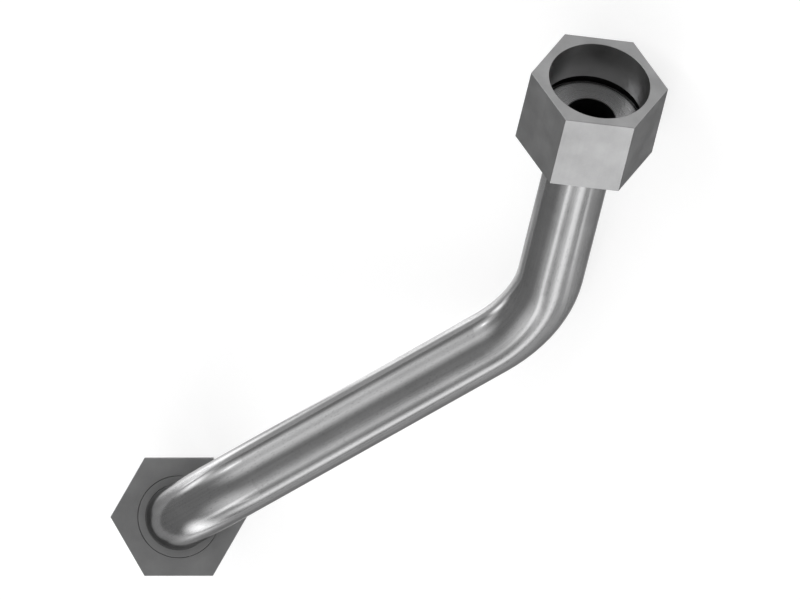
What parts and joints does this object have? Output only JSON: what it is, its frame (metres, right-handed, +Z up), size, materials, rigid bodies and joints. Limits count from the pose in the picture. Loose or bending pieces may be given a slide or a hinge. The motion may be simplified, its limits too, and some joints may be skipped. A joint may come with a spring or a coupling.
{
  "type": "hydraulic tube assembly",
  "caption": "Steel hydraulic tube bent in different planes, with a flat flange, a loose support sleeve and a hexagon union nut at each end.",
  "frame": {"origin": "centre of the bounding box in X and Y, on the surface that the line lies on", "axes": "+Z up; +X along the long run between the bends, seen from above, from end A (the end close behind a bend) to end B (the end with the long straight leg)"},
  "size_m": [0.2746, 0.0964, 0.0607],
  "materials": {
    "tube_steel": "drawn, bright",
    "sleeve_steel": "turned",
    "nut_steel": "satin"
  },
  "bodies": {
    "tube": {"tube": "tube_steel"},
    "support_sleeve_a": {"support_sleeve_a": "sleeve_steel"},
    "union_nut_a": {"union_nut_a": "nut_steel"},
    "support_sleeve_b": {"support_sleeve_b": "sleeve_steel"},
    "union_nut_b": {"union_nut_b": "nut_steel"}
  },
  "joints": [
    {"name": "sleeve_a_slide", "type": "slide", "parent": "tube", "child": "support_sleeve_a", "axis": [-0.675, -0.0567, -0.7357], "range_m": [-0.0054, 0]},
    {"name": "nut_a_spin", "type": "hinge", "parent": "support_sleeve_a", "child": "union_nut_a", "pos_m": [-0.11333, -0.02656, 0.02399], "axis": [-0.675, -0.0567, -0.7357], "continuous": true},
    {"name": "sleeve_b_slide", "type": "slide", "parent": "tube", "child": "support_sleeve_b", "axis": [0.8239, 0.5415, 0.1672], "range_m": [-0.0564, 0]},
    {"name": "nut_b_spin", "type": "hinge", "parent": "support_sleeve_b", "child": "union_nut_b", "pos_m": [0.11379, 0.02307, 0.0223], "axis": [0.8239, 0.5415, 0.1672], "continuous": true}
  ]
}
